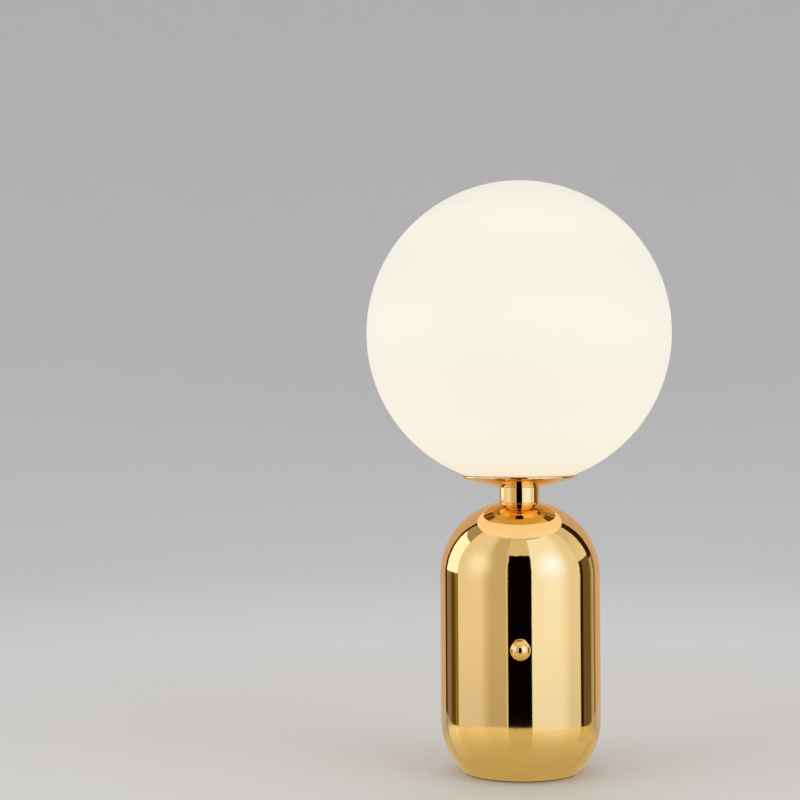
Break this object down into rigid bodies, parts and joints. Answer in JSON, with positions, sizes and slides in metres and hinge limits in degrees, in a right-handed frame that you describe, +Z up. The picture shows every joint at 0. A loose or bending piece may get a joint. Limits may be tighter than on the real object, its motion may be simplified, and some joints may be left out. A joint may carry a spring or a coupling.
{
  "type": "bedside lamp",
  "caption": "Small dimmable table lamp: a capsule base of mirror gold with a ball knob, a short neck, a shallow dish and a round opal glass shade.",
  "frame": {"origin": "middle of the foot, on the surface that the lamp stands on", "axes": "+Z up, the dimmer knob faces -Y, the cord inlet faces +Y, +X to the right seen from the front"},
  "size_m": [0.25, 0.2498, 0.4847],
  "materials": {
    "gold_plate": "mirror-polished gold plate on spun metal",
    "opal_glass": "cased opal glass, satin outside",
    "zinc_steel": "bright zinc plate",
    "spring_steel": "blued spring steel",
    "grey_iron": "cast and painted dark grey",
    "foam_pad": "closed-cell foam, matte",
    "silicone": "translucent silicone",
    "black_thermoplastic": "fine matte moulding",
    "steatite": "unglazed steatite",
    "bare_brass": "plain turned or pressed brass",
    "nickel_plate": "bright nickel plate",
    "board_laminate": "solder-masked laminate",
    "phenolic": "phenolic paper",
    "natural_polyamide": "natural white moulding",
    "copper_choke": "enamelled copper winding",
    "film_capacitor": "smooth moulded case",
    "epoxy_black": "moulded epoxy",
    "lead_brown": "insulated lead",
    "lead_blue": "insulated lead",
    "lead_black": "insulated lead",
    "lead_green": "insulated lead",
    "bulb_white": "smooth white moulding",
    "bulb_diffuser": "frosted diffuser",
    "led_phosphor": "phosphor"
  },
  "bodies": {
    "base": {"foot_pad": "foam_pad", "bottom_plate": "gold_plate", "base_weight": "grey_iron", "base_shell": "gold_plate", "centre_tube": "zinc_steel", "tube_washer": "zinc_steel", "tube_nut": "zinc_steel", "neck_collar": "gold_plate", "shade_dish": "gold_plate", "shade_gasket": "silicone", "dish_spacer": "zinc_steel", "clip_carrier": "zinc_steel", "clip_spring_1": "spring_steel", "clip_spring_2": "spring_steel", "clip_spring_3": "spring_steel", "clip_rivets": "bare_brass", "dish_nut": "zinc_steel", "lampholder_cap": "black_thermoplastic", "lampholder_insert": "steatite", "lampholder_body": "black_thermoplastic", "screw_shell": "nickel_plate", "centre_contact": "bare_brass", "lampholder_terminals": "bare_brass", "dimmer_bushing": "bare_brass", "dimmer_can": "zinc_steel", "dimmer_track": "phenolic", "dimmer_lock_washer": "zinc_steel", "dimmer_nut": "gold_plate", "dimmer_pins": "nickel_plate", "dimmer_board": "board_laminate", "dimmer_choke": "copper_choke", "dimmer_capacitor": "film_capacitor", "dimmer_triac": "epoxy_black", "dimmer_fuse": "natural_polyamide", "inlet_bush": "black_thermoplastic", "inlet_locknut": "black_thermoplastic", "terminal_block": "natural_polyamide", "terminal_screws": "nickel_plate", "earth_tag": "bare_brass", "earth_screw": "nickel_plate", "neutral_lead": "lead_blue", "dimmed_lead": "lead_black", "live_lead": "lead_brown", "earth_lead": "lead_green"},
    "knob": {"knob_ball": "gold_plate", "knob_grub_screw": "zinc_steel", "knob_shaft": "bare_brass", "dimmer_wiper": "bare_brass"},
    "shade": {"shade_globe": "opal_glass"},
    "bulb_tip": {"bulb_contact": "nickel_plate"},
    "bulb": {"bulb_insulator": "epoxy_black", "bulb_cap": "nickel_plate", "bulb_housing": "bulb_white", "bulb_led_board": "natural_polyamide", "bulb_leds": "led_phosphor", "bulb_driver": "board_laminate", "bulb_dome": "bulb_diffuser"}
  },
  "joints": [
    {"name": "knob_turn", "type": "hinge", "parent": "base", "child": "knob", "pos_m": [0, -0.0712, 0.1085], "axis": [0, 1, 0], "range_deg": [0, 280]},
    {"name": "shade_lift", "type": "slide", "parent": "base", "child": "shade", "axis": [0, 0, 1], "range_m": [0, 0.16]},
    {"name": "bulb_lift", "type": "slide", "parent": "base", "child": "bulb_tip", "axis": [0, 0, 1], "range_m": [0, 0.0118]},
    {"name": "bulb_turn", "type": "hinge", "parent": "bulb_tip", "child": "bulb", "pos_m": [0, 0, 0.279], "axis": [0, 0, 1], "range_deg": [0, 1170]}
  ],
  "couplings": [
    {"joint": "bulb_lift", "follows": "bulb_turn", "m_per_rad": 0.00057614}
  ]
}
